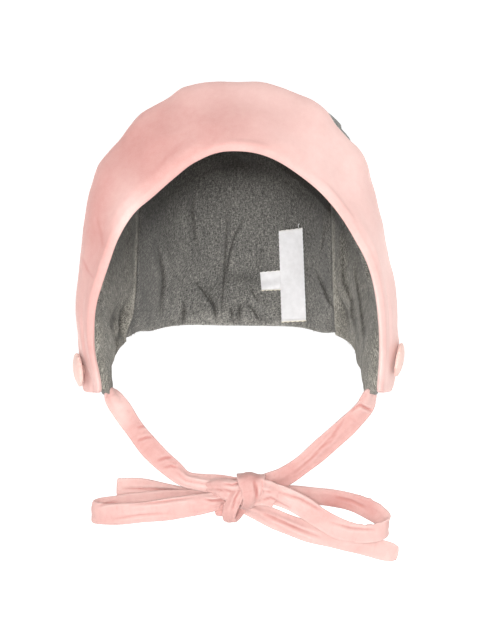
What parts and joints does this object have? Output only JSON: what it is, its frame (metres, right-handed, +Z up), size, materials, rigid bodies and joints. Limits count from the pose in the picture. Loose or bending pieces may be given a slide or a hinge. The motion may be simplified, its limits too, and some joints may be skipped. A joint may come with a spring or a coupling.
{
  "type": "baby bonnet",
  "caption": "Soft baby bonnet with a turned-back velvet front band, covered buttons, a wool lining and velvet ties fastened in a bow.",
  "frame": {"origin": "the place under the crown where the top of the head touches the lining", "axes": "+Z up, +X to the right seen from the front, -Y out of the face opening"},
  "size_m": [0.1672, 0.1447, 0.2384],
  "materials": {
    "crown_panel": "matt wool weave",
    "side_panel_left": "matt wool weave",
    "side_panel_right": "matt wool weave",
    "lining_crown": "matt wool weave",
    "lining_side_left": "matt wool weave",
    "lining_side_right": "matt wool weave",
    "front_band": "soft velvet",
    "button_left": "soft velvet",
    "button_right": "soft velvet",
    "tie_left": "soft velvet",
    "tie_right": "soft velvet",
    "bow_knot": "soft velvet",
    "bow_loop_left": "soft velvet",
    "bow_loop_right": "soft velvet",
    "bow_tail_left": "soft velvet",
    "bow_tail_right": "soft velvet",
    "woven_label": "woven satin",
    "size_label": "woven satin"
  },
  "bodies": {
    "root": {"crown_panel": "crown_panel", "side_panel_left": "side_panel_left", "side_panel_right": "side_panel_right", "lining_crown": "lining_crown", "lining_side_left": "lining_side_left", "lining_side_right": "lining_side_right", "front_band": "front_band", "button_left": "button_left", "button_right": "button_right", "tie_left": "tie_left", "tie_right": "tie_right", "bow_knot": "bow_knot", "bow_loop_left": "bow_loop_left", "bow_loop_right": "bow_loop_right", "bow_tail_left": "bow_tail_left", "bow_tail_right": "bow_tail_right", "woven_label": "woven_label", "size_label": "size_label"}
  },
  "joints": []
}
